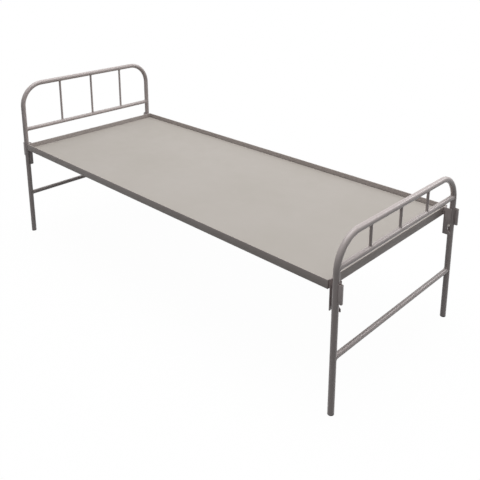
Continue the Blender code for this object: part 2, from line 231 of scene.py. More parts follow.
def add_piece(name, bm, material, replaced=(), crease=35.0):
    """Makes an object of a bmesh, smooth but for edges sharper than the crease, in degrees."""
    bmesh.ops.recalc_face_normals(bm, faces=bm.faces)
    mesh = bpy.data.meshes.new(name)
    bm.to_mesh(mesh)
    bm.free()
    piece = bpy.data.objects.new(name, mesh)
    bpy.context.scene.collection.objects.link(piece)
    mesh.materials.append(material)
    mesh.shade_smooth()
    mesh.set_sharp_from_angle(angle=math.radians(crease))
    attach(piece, "root")
    if replaced:
        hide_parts(*replaced)
    print(name, len(mesh.polygons), "faces")
    return piece


def add_sheet_thickness(piece, thickness, offset=-1.0):
    """A drawn sheet gets its real thickness. With offset -1 the drawn face stays outside."""
    solid = piece.modifiers.new("sheet", "SOLIDIFY")
    solid.thickness = thickness
    solid.offset = offset
    solid.use_even_offset = True
    return piece


def round_edges(piece, radius):
    """Takes the sharpness off the edges of a cut piece."""
    edges = piece.modifiers.new("filed_edges", "BEVEL")
    edges.width = radius
    edges.segments = FILED_STEPS
    edges.limit_method = "ANGLE"
    edges.angle_limit = math.radians(FILED_ABOVE)


print("cut edges are filed where they are sharper than", FILED_ABOVE, "degrees")

# %% [markdown]
# ## Stove enamel
# All the steel is degreased, sprayed with enamel and baked in an oven. Sprayed enamel is never
# quite flat. Its drops flow together to a fine orange peel and pool in slow waves, so its gloss
# breaks up, its colour drifts a little where the coat is thicker, and handling leaves faint rubbed
# marks. All of it is noise on Object coordinates and keeps its real size on every piece.

# %% Define the enamel
METRE = 1000.0  # in millimetres, so METRE / size gives the noise cells in a metre
PEEL_MM = 2.2  # the real peel, about as fine as a close view can show
WAVE_MM = 18.0
GLOSS_MM = 70.0
RUB_MM = 110.0
DRIFT_MM = 400.0
PEEL_DEPTH = 0.0001
WAVE_DEPTH = 0.0005
RELIEF = 0.25  # the share of those depths that shows
NOISE_SPAN = {"From Min": 0.3, "From Max": 0.7}  # most values of a noise lie in it
RUBBED_SPAN = {"From Min": 0.60, "From Max": 0.80}  # only the noise's peaks are rubbed marks
GLOSS_SPREAD = (-0.04, 0.05)  # added to the roughness at either end
RESIN_IOR = 1.5


def stove_enamel(name, thin, thick, rubbed, roughness, rub_share):
    """Sprayed and baked enamel, which has the IOR of a resin and no metal in its shine."""
    material = bpy.data.materials.new(name)
    material.use_nodes = True
    tree = material.node_tree
    shader = tree.nodes["Principled BSDF"]
    shader.inputs["IOR"].default_value = RESIN_IOR
    shader.inputs["Metallic"].default_value = 0.0
    place = {"Vector": add_node(tree, "ShaderNodeTexCoord").outputs["Object"]}

    drift_look = {"Scale": METRE / DRIFT_MM, "Detail": 3.0}
    drift = add_node(tree, "ShaderNodeTexNoise", drift_look, place)
    coat = add_node(tree, "ShaderNodeMapRange", NOISE_SPAN, {"Value": drift.outputs["Fac"]})
    paint = add_node(
        tree,
        "ShaderNodeMix",
        {"data_type": "RGBA", 6: linear(thin), 7: linear(thick)},
        {0: coat.outputs[0]},
    )
    rub_look = {"Scale": METRE / RUB_MM, "Detail": 6.0}
    rub = add_node(tree, "ShaderNodeTexNoise", rub_look, place)
    marks = add_node(
        tree,
        "ShaderNodeMapRange",
        {**RUBBED_SPAN, "To Max": rub_share},
        {"Value": rub.outputs["Fac"]},
    )
    paint = add_node(
        tree,
        "ShaderNodeMix",
        {"data_type": "RGBA", 7: linear(rubbed)},
        {0: marks.outputs[0], 6: paint.outputs[2]},
    )
    tree.links.new(paint.outputs[2], shader.inputs["Base Color"])

    sheen_look = {"Scale": METRE / GLOSS_MM, "Detail": 4.0}
    sheen = add_node(tree, "ShaderNodeTexNoise", sheen_look, place)
    least, most = (roughness + more for more in GLOSS_SPREAD)
    gloss = add_node(
        tree,
        "ShaderNodeMapRange",
        {**NOISE_SPAN, "To Min": least, "To Max": most},
        {"Value": sheen.outputs["Fac"]},
    )
    tree.links.new(gloss.outputs[0], shader.inputs["Roughness"])

    peel_look = {"Scale": METRE / PEEL_MM, "Detail": 1.0}
    peel = add_node(tree, "ShaderNodeTexNoise", peel_look, place)
    fine = add_node(
        tree,
        "ShaderNodeBump",
        {"Strength": RELIEF, "Distance": PEEL_DEPTH},
        {"Height": peel.outputs["Fac"]},
    )
    wave_look = {"Scale": METRE / WAVE_MM, "Detail": 2.0}
    wave = add_node(tree, "ShaderNodeTexNoise", wave_look, place)
    flow = add_node(
        tree,
        "ShaderNodeBump",
        {"Strength": RELIEF, "Distance": WAVE_DEPTH},
        {"Height": wave.outputs["Fac"], "Normal": fine.outputs[0]},
    )
    tree.links.new(flow.outputs[0], shader.inputs["Normal"])
    return material


print("enamel peel", PEEL_MM, "mm and waves", WAVE_MM, "mm")

# %% [markdown]
# ## Three coats of it
# The whole bed is one warm grey. The bows and the small parts at the corners have the glossiest
# coat, the rails a duller one, and the wide deck a nearly matte and yellower one. The bows' copy of
# the grey is made lighter, as painted light, and the rails' copy darker, as painted shade, so the
# tubes read brighter and the rails' faces darker. So the same function is called three times, with
# the colours and the roughness of each coat.

# %% Mix the three enamels
# The glossy coat makes bright lines along the tubes. Its colours are a lighter copy of the bed's
# grey: painted light on the bows.
BOW_COAT_PAINTED_LIGHT = {
    "thin": "#bdb3b1",
    "thick": "#b5aba9",
    "rubbed": "#c7bebb",
    "roughness": 0.30,
    "rub_share": 0.35,
}
# The duller coat leaves the flat rails one even tone, with a soft edge of light. Its colours are a
# darker copy of the bed's grey: painted shade on the rails.
RAIL_COAT_PAINTED_SHADE = {
    "thin": "#b0a7a3",
    "thick": "#a89f9b",
    "rubbed": "#b9b0ab",
    "roughness": 0.46,
    "rub_share": 0.35,
}
# The matte coat spreads the overhead light evenly over the deck.
DECK_COAT = {
    "thin": "#aca6a0",
    "thick": "#a8a29b",
    "rubbed": "#b5afa9",
    "roughness": 0.55,
    "rub_share": 0.15,
}

# The bow enamel is lightened as painted light and the rail enamel darkened as painted shade; the
# deck's is its own colour.
bow_enamel_painted_light = stove_enamel("stove_enamel_bow_grey_painted_light", **BOW_COAT_PAINTED_LIGHT)
rail_enamel_painted_shade = stove_enamel("stove_enamel_rail_grey_painted_shade", **RAIL_COAT_PAINTED_SHADE)
deck_enamel = stove_enamel("stove_enamel_deck_grey", **DECK_COAT)
print("enamels:", bow_enamel_painted_light.name, rail_enamel_painted_shade.name, deck_enamel.name)

# %% [markdown]
# ## Zinc plate and moulded plastic
# The studs are turned steel with a dull zinc plate, whose small crystals scatter a metal's shine.
# The leg plugs are moulded polyethylene: the mould's spark-eroded grain leaves them matte.

# %% Mix the zinc and the plastic
TONE_MM = 12.0
GRAIN_RELIEF = 0.4
GRAIN_GLOSS_SPREAD = (-0.06, 0.08)
ZINC = {
    "darker": "#96928e",
    "lighter": "#aeaaa5",
    "roughness": 0.45,
    "metallic": 1.0,
    "grain_mm": 1.2,  # the real crystals are finer, but a close view can't show them so
    "depth": 0.00006,
}
PLASTIC = {
    "darker": "#45413f",
    "lighter": "#4f4b48",
    "roughness": 0.5,
    "metallic": 0.0,
    "grain_mm": 0.9,
    "depth": 0.0001,
}


def grained_finish(name, darker, lighter, roughness, metallic, grain_mm, depth):
    """A finish with a fine grain and a slightly uneven tone and gloss."""
    material = bpy.data.materials.new(name)
    material.use_nodes = True
    tree = material.node_tree
    shader = tree.nodes["Principled BSDF"]
    shader.inputs["Metallic"].default_value = metallic
    place = {"Vector": add_node(tree, "ShaderNodeTexCoord").outputs["Object"]}
    tone_look = {"Scale": METRE / TONE_MM, "Detail": 4.0}
    tone = add_node(tree, "ShaderNodeTexNoise", tone_look, place)
    share = add_node(tree, "ShaderNodeMapRange", NOISE_SPAN, {"Value": tone.outputs["Fac"]})
    colour = add_node(
        tree,
        "ShaderNodeMix",
        {"data_type": "RGBA", 6: linear(darker), 7: linear(lighter)},
        {0: share.outputs[0]},
    )
    tree.links.new(colour.outputs[2], shader.inputs["Base Color"])
    least, most = (roughness + more for more in GRAIN_GLOSS_SPREAD)
    gloss = add_node(
        tree,
        "ShaderNodeMapRange",
        {**NOISE_SPAN, "To Min": least, "To Max": most},
        {"Value": tone.outputs["Fac"]},
    )
    tree.links.new(gloss.outputs[0], shader.inputs["Roughness"])
    grain_look = {"Scale": METRE / grain_mm, "Detail": 2.0}
    grain = add_node(tree, "ShaderNodeTexNoise", grain_look, place)
    bump = add_node(
        tree,
        "ShaderNodeBump",
        {"Strength": GRAIN_RELIEF, "Distance": depth},
        {"Height": grain.outputs["Fac"]},
    )
    tree.links.new(bump.outputs[0], shader.inputs["Normal"])
    return material


zinc_plate = grained_finish("dull_zinc_plate", **ZINC)
moulded_plastic = grained_finish("moulded_polyethylene", **PLASTIC)
print("finishes:", zinc_plate.name, moulded_plastic.name)

# %% [markdown]
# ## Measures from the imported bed
# The legs' axes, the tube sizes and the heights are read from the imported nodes. Only what a box
# can't tell is written here: the bend of the tube, the thickness of plate and sheet, and the gap
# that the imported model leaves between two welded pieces.

# %% Measure the legs and bars
BEND = 0.120  # the radius at the tube's centreline
PLATE = 0.003
GAP = 0.0003
SAME_SPOT = 1e-6  # points nearer than this are one
UPRIGHTS = (1, 2, 3)
SIDES = ((-1, "near"), (1, "far"))


def measure_bow(end, sign):
    """The sizes of one bow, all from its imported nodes."""
    low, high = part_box(end + "_bow_tube")
    mid_low, mid_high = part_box(end + "_mid_bar")
    stretcher_low, stretcher_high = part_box(end + "_stretcher")
    rods = [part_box(f"{end}_upright_{number}") for number in UPRIGHTS]
    radius = (high.x - low.x) / 2
    return {
        "end": end,
        "sign": sign,
        "x": (low.x + high.x) / 2,
        "leg_y": high.y - radius,
        "radius": radius,
        "foot_z": low.z,
        "top_z": high.z - radius,
        "mid_z": (mid_low.z + mid_high.z) / 2,
        "stretcher_z": (stretcher_low.z + stretcher_high.z) / 2,
        "bar_radius": (mid_high.z - mid_low.z) / 2,
        "rod_radius": (rods[0][1].x - rods[0][0].x) / 2,
        "rods_y": [(rod_low.y + rod_high.y) / 2 for rod_low, rod_high in rods],
    }


bows = [measure_bow("head", -1), measure_bow("foot", 1)]
for bow in bows:
    rods_y = [round(y, 4) for y in bow["rods_y"]]
    print(bow["end"], "legs at y", round(bow["leg_y"], 4), "uprights at y", rods_y)

# %% [markdown]
# ## The bent tubes
# Each bow is one length of one-inch tube, bent twice on a former. A ring is drawn at the foot of
# the near leg and carried along the centreline by spin: straight up, round a quarter turn, across,
# round again and down. Spin with no angle and a step is a straight pull.

# %% Bend the two bows
TUBE_SIDES = 40
LEG_STEPS = 6
BEND_STEPS = 24
CROSS_STEPS = 8


def carry(bm, edges, steps, move=(0, 0, 0), angle=0.0, centre=(0, 0, 0), axis=(1, 0, 0)):
    """Carries a ring of edges along a straight or round a bend, and returns the last ring."""
    carried = bmesh.ops.spin(
        bm,
        geom=edges,
        cent=centre,
        axis=axis,
        dvec=Vector(move) / steps,
        angle=angle,
        steps=steps,
        use_merge=False,
    )
    return [part for part in carried["geom_last"] if isinstance(part, bmesh.types.BMEdge)]


def ring_edges(bm, radius, sides, matrix):
    """A ring of a tube's section."""
    ring = bmesh.ops.create_circle(
        bm, cap_ends=False, segments=sides, radius=radius, matrix=matrix
    )
    return list({edge for vert in ring["verts"] for edge in vert.link_edges})


def close_ends(bm):
    """Fills every open ring."""
    bmesh.ops.holes_fill(bm, edges=[edge for edge in bm.edges if edge.is_boundary], sides=0)


def bend_bow(bow):
    """The bent tube of one bow."""
    x, y, top, foot = bow["x"], bow["leg_y"], bow["top_z"], bow["foot_z"]
    bm = bmesh.new()
    edges = ring_edges(bm, bow["radius"], TUBE_SIDES, Matrix.Translation((x, -y, foot)))
    quarter = math.radians(-90)
    edges = carry(bm, edges, LEG_STEPS, move=(0, 0, top - BEND - foot))
    edges = carry(bm, edges, BEND_STEPS, angle=quarter, centre=(x, BEND - y, top - BEND))
    edges = carry(bm, edges, CROSS_STEPS, move=(0, 2 * (y - BEND), 0))
    edges = carry(bm, edges, BEND_STEPS, angle=quarter, centre=(x, y - BEND, top - BEND))
    carry(bm, edges, LEG_STEPS, move=(0, 0, foot - top + BEND))
    close_ends(bm)
    node = bow["end"] + "_bow_tube"
    add_piece(node + "_enamelled", bm, bow_enamel_painted_light, [node], crease=50)


for bow in bows:
    bend_bow(bow)

# %% [markdown]
# ## Cross bars and uprights
# The bars between the legs and the rods between the bars are cut square and then notched to sit on
# the round tube that they meet. Each end ring is moved, point by point, on to that tube's surface.

# %% Notch and fit the bars
BAR_SIDES = 36
ROD_SIDES = 28
ROD_STEPS = 6
AT_LEG = 0.99  # past this share of the way to a leg's axis, a point is in an end ring
AT_HEIGHT = 1e-5  # within this of its height, a point is in an end ring


def leg_face(bow, dx, z):
    """How far from the bed's middle a leg's inward face is, at dx from its axis and height z."""
    reach = bow["leg_y"] - math.sqrt(max(bow["radius"] ** 2 - dx * dx, 0.0))
    into_bend = z - (bow["top_z"] - BEND)
    if into_bend > 0:
        reach -= BEND - math.sqrt(max(BEND**2 - into_bend**2, 0.0))
    return reach


def fit_cross_bar(bow, node, z):
    """A bar across the bow at height z, notched on to both legs."""
    bm = bmesh.new()
    along_y = Matrix.Rotation(math.radians(-90), 4, "X")
    start = Matrix.Translation((bow["x"], -bow["leg_y"], z)) @ along_y
    edges = ring_edges(bm, bow["bar_radius"], BAR_SIDES, start)
    carry(bm, edges, CROSS_STEPS, move=(0, 2 * bow["leg_y"], 0))
    for vert in bm.verts:
        if abs(vert.co.y) > AT_LEG * bow["leg_y"]:
            face = leg_face(bow, vert.co.x - bow["x"], vert.co.z)
            vert.co.y = math.copysign(face, vert.co.y)
    close_ends(bm)
    add_piece(node + "_enamelled", bm, bow_enamel_painted_light, [node], crease=50)


def fit_upright(bow, node, y):
    """A rod from the mid bar to the top bar, notched on to both."""
    bm = bmesh.new()
    start = Matrix.Translation((bow["x"], y, bow["mid_z"]))
    edges = ring_edges(bm, bow["rod_radius"], ROD_SIDES, start)
    carry(bm, edges, ROD_STEPS, move=(0, 0, bow["top_z"] - bow["mid_z"]))
    for vert in bm.verts:
        dx = vert.co.x - bow["x"]
        if vert.co.z < bow["mid_z"] + AT_HEIGHT:
            vert.co.z += math.sqrt(bow["bar_radius"] ** 2 - dx * dx)
        elif vert.co.z > bow["top_z"] - AT_HEIGHT:
            vert.co.z -= math.sqrt(bow["radius"] ** 2 - dx * dx)
    close_ends(bm)
    add_piece(node + "_enamelled", bm, bow_enamel_painted_light, [node], crease=50)


for bow in bows:
    fit_cross_bar(bow, bow["end"] + "_mid_bar", bow["mid_z"])
    fit_cross_bar(bow, bow["end"] + "_stretcher", bow["stretcher_z"])
    for number, rod_y in zip(UPRIGHTS, bow["rods_y"]):
        fit_upright(bow, f"{bow['end']}_upright_{number}", rod_y)

# %% [markdown]
# ## Weld beads round the bars
# Every bar is welded all round where it meets another tube. A bead is a ring of small overlapping
# ripples that follows the saddle between the two. A little circle is spun into a ring, rippled by
# moving each point out from the ring's core, and pushed on to the carrying tube.

# %% Define a ring bead
RIPPLE = 0.0022  # from one ripple to the next
RIPPLE_STEPS = 4
RIPPLE_LEAST, RIPPLE_RISE = 0.90, 0.16  # shares of the bead's radius
BEAD_SIDES = 8


def ripple(along):
    """How much a bead swells at a distance along it."""
    return RIPPLE_LEAST + RIPPLE_RISE * abs(math.sin(math.pi * along / RIPPLE))


def absorb(bm, part):
    """Puts one bmesh into another."""
    mesh = bpy.data.meshes.new("part")
    part.to_mesh(mesh)
    part.free()
    bm.from_mesh(mesh)
    bpy.data.meshes.remove(mesh)


def weld_ring(bm, centre, toward, ring_radius, bead, recede):
    """A bead round a bar's end. recede tells how far the carrying surface lies behind a point."""
    toward = Vector(toward).normalized()
    side = Vector((1, 0, 0))
    axes = Matrix((side, toward.cross(side), toward)).transposed().to_4x4()
    place = Matrix.Translation(centre) @ axes
    ripples = round(math.tau * ring_radius / RIPPLE)
    ring = bmesh.new()
    lie = Matrix.Translation((ring_radius, 0, 0)) @ Matrix.Rotation(math.radians(90), 4, "X")
    bmesh.ops.spin(
        ring,
        geom=ring_edges(ring, bead, BEAD_SIDES, lie),
        cent=(0, 0, 0),
        axis=(0, 0, 1),
        angle=math.tau,
        steps=RIPPLE_STEPS * ripples,
        use_merge=True,
    )
    for vert in ring.verts:
        turned_by = math.atan2(vert.co.y, vert.co.x)
        core = ring_radius * Vector((math.cos(turned_by), math.sin(turned_by), 0))
        swell = ripple(turned_by / math.tau * ripples * RIPPLE)
        vert.co = place @ (core + (vert.co - core) * swell) + toward * recede(place @ core)
    absorb(bm, ring)


def weld_round_leg_end(bm, bow, centre, ring_radius, bead):
    """A bead round something that meets a leg's inward side."""
    start = bow["leg_y"] - bow["radius"]
    toward = (0, math.copysign(1, centre[1]), 0)

    def recede(point):
        return leg_face(bow, point.x - bow["x"], point.z) - start

    weld_ring(bm, centre, toward, ring_radius, bead, recede)


print("weld ripples", RIPPLE, "apart")

# %% [markdown]
# ## The welds of the bows
# Each bow has four beads on its legs and six on its rods. They are one piece for each bow, because
# they share its paint and never come off it.

# %% Weld the bows
BAR_BEAD, BAR_BEAD_OUT = 0.0019, 0.0006  # a bead's radius, and how far out of the bar its core is
ROD_BEAD, ROD_BEAD_OUT = 0.0015, 0.0005


def weld_round_rod_end(bm, bow, centre, toward, carrier):
    """A bead round an upright's end, on a bar or tube with the radius of its carrier."""

    def recede(point):
        return carrier - math.sqrt(max(carrier**2 - (point.x - bow["x"]) ** 2, 0.0))

    weld_ring(bm, centre, toward, bow["rod_radius"] + ROD_BEAD_OUT, ROD_BEAD, recede)


def weld_bow(bow):
    """All the beads of one bow as one piece."""
    bm = bmesh.new()
    for z in (bow["mid_z"], bow["stretcher_z"]):
        for side, _ in SIDES:
            centre = (bow["x"], side * (bow["leg_y"] - bow["radius"]), z)
            weld_round_leg_end(bm, bow, centre, bow["bar_radius"] + BAR_BEAD_OUT, BAR_BEAD)
    bar_top = bow["mid_z"] + bow["bar_radius"]
    tube_bottom = bow["top_z"] - bow["radius"]
    for rod_y in bow["rods_y"]:
        weld_round_rod_end(bm, bow, (bow["x"], rod_y, bar_top), (0, 0, -1), bow["bar_radius"])
        weld_round_rod_end(bm, bow, (bow["x"], rod_y, tube_bottom), (0, 0, 1), bow["radius"])
    add_piece(bow["end"] + "_bow_welds", bm, bow_enamel_painted_light, crease=60)


for bow in bows:
    weld_bow(bow)

# %% [markdown]
# ## Plugs in the legs
# A plug is pressed into each open tube end and keeps the floor from being scratched. Its outline is
# drawn once and spun round the leg's axis.

# %% Turn the leg plugs
PLUG_EDGE = 0.002
PLUG_BREAK = 0.0004
STEM_INSET, STEM_TOP_INSET = 0.0019, 0.0024  # the stem tapers, so that it goes in
MOULD_MARK_RADIUS, MOULD_MARK_DEPTH = 0.004, 0.0006


def spin_outline(outline, sides, matrix):
    """A solid of revolution: (radius, height) points are spun about Z and put in place."""
    bm = bmesh.new()
    verts = [bm.verts.new((radius, 0, height)) for radius, height in outline]
    edges = [bm.edges.new(pair) for pair in zip(verts, verts[1:])]
    bmesh.ops.spin(
        bm,
        geom=verts + edges,
        cent=(0, 0, 0),
        axis=(0, 0, 1),
        angle=math.tau,
        steps=sides,
        use_merge=True,
    )
    bmesh.ops.remove_doubles(bm, verts=bm.verts, dist=SAME_SPOT)
    bmesh.ops.transform(bm, matrix=matrix, verts=bm.verts)
    return bm


def arc_points(centre, radius, start, end, steps=6):
    """Points round part of a circle, with angles in degrees."""
    angles = [math.radians(start + (end - start) * step / steps) for step in range(steps + 1)]
    x, y = centre[0], centre[1]
    return [(x + radius * math.cos(a), y + radius * math.sin(a)) for a in angles]


for bow in bows:
    for side, name in SIDES:
        node = f"{bow['end']}_plug_{name}"
        plug_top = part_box(node)[1].z
        radius, flange_top = bow["radius"], bow["foot_z"] - GAP
        outline = [
            (0, plug_top),
            (radius - STEM_TOP_INSET, plug_top),
            (radius - STEM_INSET, flange_top),
            (radius - PLUG_BREAK, flange_top),
            (radius, flange_top - PLUG_BREAK),
            *arc_points((radius - PLUG_EDGE, PLUG_EDGE), PLUG_EDGE, 0, -90),
            (MOULD_MARK_RADIUS, 0),
            (MOULD_MARK_RADIUS - MOULD_MARK_DEPTH, MOULD_MARK_DEPTH),
            (0, MOULD_MARK_DEPTH),
        ]
        place = Matrix.Translation((bow["x"], side * bow["leg_y"], 0))
        plug_bm = spin_outline(outline, TUBE_SIDES, place)
        add_piece(node + "_moulded", plug_bm, moulded_plastic, [node])

# %% [markdown]
# ## The angle-steel frame
# The deck frame is four lengths of 35 mm angle, mitred and welded at the corners. Rolled angle has
# a rounded root, softer toes and a nearly sharp heel, so the L is extruded first and each kind of
# edge is bevelled with its own radius. Two cuts at 45 degrees make the mitres.

# %% Roll and mitre the four rails
ANGLE = 0.004  # the steel's thickness
ROOT, TOE, HEEL = (0.0025, 5), (0.0018, 4), (0.0006, 2)  # radii and their segments
CUT_WIDTH = 1e-7  # points this near a cut's plane are on it
FRAME_LOW = Vector(map(min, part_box("side_rail_near")[0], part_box("end_rail_head")[0]))
FRAME_HIGH = Vector(map(max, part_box("side_rail_far")[1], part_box("end_rail_foot")[1]))
FLANGE = FRAME_HIGH.z - FRAME_LOW.z


def bevel_chosen(bm, chosen, radius, segments):
    """Bevels the edges that a test picks by their two ends."""
    edges = [edge for edge in bm.edges if chosen(edge.verts[0].co, edge.verts[1].co)]
    bmesh.ops.bevel(
        bm,
        geom=edges,
        offset=radius,
        offset_type="OFFSET",
        affect="EDGES",
        segments=segments,
        profile=0.5,
        material=-1,
    )


def roll_rail(node, outer_length, place):
    """One mitred angle, drawn along X with its outer face at Y = 0 and its flange towards +Y."""
    half = outer_length / 2
    bm = bmesh.new()
    section = [(0, 0), (FLANGE, 0), (FLANGE, ANGLE), (ANGLE, ANGLE), (ANGLE, FLANGE), (0, FLANGE)]
    face = bm.faces.new([bm.verts.new((-half, y, z)) for y, z in section])
    grown = bmesh.ops.extrude_face_region(bm, geom=[face])
    far_end = [part for part in grown["geom"] if isinstance(part, bmesh.types.BMVert)]
    bmesh.ops.translate(bm, verts=far_end, vec=(outer_length, 0, 0))
    bmesh.ops.recalc_face_normals(bm, faces=bm.faces)

    def runs_at(*spots):
        def chosen(a, b):
            at_spot = any(
                abs(a.y - y) < SAME_SPOT and abs(a.z - z) < SAME_SPOT for y, z in spots
            )
            return at_spot and abs(a.x - b.x) > outer_length / 2

        return chosen

    bevel_chosen(bm, runs_at((ANGLE, ANGLE)), *ROOT)
    bevel_chosen(bm, runs_at((FLANGE, ANGLE), (ANGLE, FLANGE)), *TOE)
    bevel_chosen(bm, runs_at((0, 0), (FLANGE, 0), (0, FLANGE)), *HEEL)
    for end in (-1, 1):
        cut = bmesh.ops.bisect_plane(
            bm,
            geom=[*bm.verts, *bm.edges, *bm.faces],
            plane_co=(end * (half - GAP / 2), 0, 0),
            plane_no=(end, 1, 0),
            clear_outer=True,
            dist=CUT_WIDTH,
        )
        rim = [part for part in cut["geom_cut"] if isinstance(part, bmesh.types.BMEdge)]
        bmesh.ops.contextual_create(bm, geom=rim)
    bmesh.ops.transform(bm, matrix=place, verts=bm.verts)
    add_piece(node + "_enamelled", bm, rail_enamel_painted_shade, [node], crease=40)


frame_middle = (FRAME_LOW + FRAME_HIGH) / 2
frame_size = FRAME_HIGH - FRAME_LOW
for node, outer_length, x, y, turn in (
    ("side_rail_near", frame_size.x, frame_middle.x, FRAME_LOW.y, 0),
    ("side_rail_far", frame_size.x, frame_middle.x, FRAME_HIGH.y, 180),
    ("end_rail_head", frame_size.y, FRAME_LOW.x, frame_middle.y, -90),
    ("end_rail_foot", frame_size.y, FRAME_HIGH.x, frame_middle.y, 90),
):
    place = Matrix.Translation((x, y, FRAME_LOW.z)) @ Matrix.Rotation(math.radians(turn), 4, "Z")
    roll_rail(node, outer_length, place)

# %% [markdown]
# ## Weld beads at the mitres
# The outer corner and the top of each mitre are ground nearly flush, and the beads inside the
# corner and under it are left as laid. A straight bead is a small ring pulled along and rippled
# like the round ones.

# %% Weld the four mitres
BLUNTNESS = 0.05  # the square of the share of its radius that a bead has at its very end
GROUND = 0.3  # the share of its ripple that a ground bead keeps
BOTTOM, TOP = FRAME_LOW.z, FRAME_HIGH.z
# A bead runs from one spot to another, each given as how far in from the corner and how high it is.
# After them come its radius and the share of its ripple.
MITRE_BEADS = {
    "outer": ((0.0010, BOTTOM + 0.001), (0.0010, TOP - 0.001), 0.0011, GROUND),
    "top": ((0.0012, TOP - 0.0008), (0.0034, TOP - 0.0008), 0.0010, GROUND),
    "inner": ((ANGLE, BOTTOM + ANGLE + 0.008), (ANGLE, TOP - 0.003), 0.0017, 1.0),
    "lower": ((ANGLE, BOTTOM), (FLANGE - 0.003, BOTTOM), 0.0018, 1.0),
}


def weld_line(bm, start, end, bead, ground=1.0):
    """A straight bead between two points, rounded at its ends. Ground beads ripple less."""
    start, end = Vector(start), Vector(end)
    run = end - start
    length = run.length
    line = bmesh.new()
    turn = run.to_track_quat("Z", "Y").to_matrix().to_4x4()
    edges = ring_edges(line, bead, BEAD_SIDES, Matrix.Translation(start) @ turn)
    carry(line, edges, RIPPLE_STEPS * max(2, round(length / RIPPLE)), move=run)
    for vert in line.verts:
        along = (vert.co - start).dot(run) / length
        core = start + run * (along / length)
        from_end = max(min(along, length - along), 0.0)
        rounding = min(1.0, math.sqrt(BLUNTNESS + from_end / bead))
        vert.co = core + (vert.co - core) * (1 + (ripple(along) - 1) * ground) * rounding
    close_ends(line)
    absorb(bm, line)


def weld_mitre(bm, x_sign, y_sign):
    """The four beads of one corner of the frame."""
    corner_x = FRAME_HIGH.x if x_sign > 0 else FRAME_LOW.x
    corner_y = FRAME_HIGH.y if y_sign > 0 else FRAME_LOW.y
    for *spots, bead, ground in MITRE_BEADS.values():
        start, end = ((corner_x - x_sign * by, corner_y - y_sign * by, z) for by, z in spots)
        weld_line(bm, start, end, bead, ground)


mitres = bmesh.new()
for x_sign in (-1, 1):
    for y_sign in (-1, 1):
        weld_mitre(mitres, x_sign, y_sign)
add_piece("frame_mitre_welds", mitres, rail_enamel_painted_shade, crease=60)

# %% [markdown]
# ## The deck
# The mattress lies on one sheet of steel, folded down all round and lying on the lower flanges. A
# box gets its folds by bevelling, loses its bottom, and Solidify gives it the sheet's thickness.

# %% Fold the deck panel
DECK_SHEET = 0.0015
DECK_FOLD = 0.003
FOLD_SEGMENTS = 6
MOSTLY = 0.5  # a face looks along an axis if its normal has more than this along it


def box_between(low, high):
    """A box between two corners."""
    bm = bmesh.new()
    low, high = Vector(low), Vector(high)
    size = Matrix.Diagonal((*(high - low), 1.0))
    bmesh.ops.create_cube(bm, size=1.0, matrix=Matrix.Translation((low + high) / 2) @ size)
    return bm


deck_low, deck_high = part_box("deck_panel")
deck_bm = box_between(deck_low, deck_high)
deck_middle_z = (deck_low.z + deck_high.z) / 2
bevel_chosen(deck_bm, lambda a, b: max(a.z, b.z) > deck_middle_z, DECK_FOLD, FOLD_SEGMENTS)
deck_bottom = [face for face in deck_bm.faces if face.normal.z < -MOSTLY]
bmesh.ops.delete(deck_bm, geom=deck_bottom, context="FACES_ONLY")
deck = add_piece(
    "deck_panel_enamelled", deck_bm, deck_enamel, ["deck_panel"], crease=50
)
add_sheet_thickness(deck, DECK_SHEET)

# %% [markdown]
# ## Channels under the deck
# Four folded channels keep the sheet from drumming and sagging. Each is open downwards, and its two
# sides are cut away at the ends so that it sits on the flanges of the side rails.

# %% Fold the channels
CHANNEL_SHEET = 0.002
CHANNEL_FOLD = 0.003
NOTCH_CLEARANCE = 0.002
CHANNELS = (1, 2, 3, 4)
NOTCH_START = FRAME_HIGH.y - FLANGE - NOTCH_CLEARANCE


def fold_channel(node):
    """A folded channel: a box with two folds, opened below and notched at both ends."""
    low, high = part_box(node)
    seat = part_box("deck_panel")[0].z
    bm = box_between(low, high)
    middle_z = (low.z + high.z) / 2

    def is_fold(a, b):
        return min(a.z, b.z) > middle_z and abs(a.x - b.x) < SAME_SPOT

    bevel_chosen(bm, is_fold, CHANNEL_FOLD, FOLD_SEGMENTS)
    opened = []
    for face in bm.faces:
        if face.normal.z < -MOSTLY or abs(face.normal.y) > MOSTLY:
            opened.append(face)
    bmesh.ops.delete(bm, geom=opened, context="FACES_ONLY")
    for spot, direction in (
        ((0, NOTCH_START, 0), (0, 1, 0)),
        ((0, -NOTCH_START, 0), (0, 1, 0)),
        ((0, 0, seat), (0, 0, 1)),
    ):
        bmesh.ops.bisect_plane(
            bm,
            geom=[*bm.verts, *bm.edges, *bm.faces],
            plane_co=spot,
            plane_no=direction,
            dist=CUT_WIDTH,
        )
    notched = []
    for face in bm.faces:
        middle = face.calc_center_median()
        if abs(middle.y) > NOTCH_START and middle.z < seat:
            notched.append(face)
    bmesh.ops.delete(bm, geom=notched, context="FACES")
    channel = add_piece(node + "_folded", bm, deck_enamel, [node], crease=50)
    add_sheet_thickness(channel, CHANNEL_SHEET)


for number in CHANNELS:
    fold_channel(f"deck_crossbar_{number}")

# %% [markdown]
# ## Stitch welds under the deck
# Each channel is joined to the sheet by short stitches, set well apart so that their heat doesn't
# buckle it, and by one bead at each corner to the toe of the side rail. They show only from below.

# %% Weld the channels
STITCH = 0.024
STITCHES = 5
STITCH_MARGIN = 0.12  # what the row of stitches is shorter than the channel's sides
STITCH_BEAD, TOE_BEAD = 0.0017, 0.0019
STITCH_IN, STITCH_DOWN = 0.0006, 0.0008  # a stitch's core, from the top edge of the channel's side
TOE_IN, TOE_DOWN = 0.001, 0.0004  # a toe bead's core, from that side and the rail's underside
TOE_BEAD_ENDS = (-0.001, 0.0055)  # out from where the notch starts


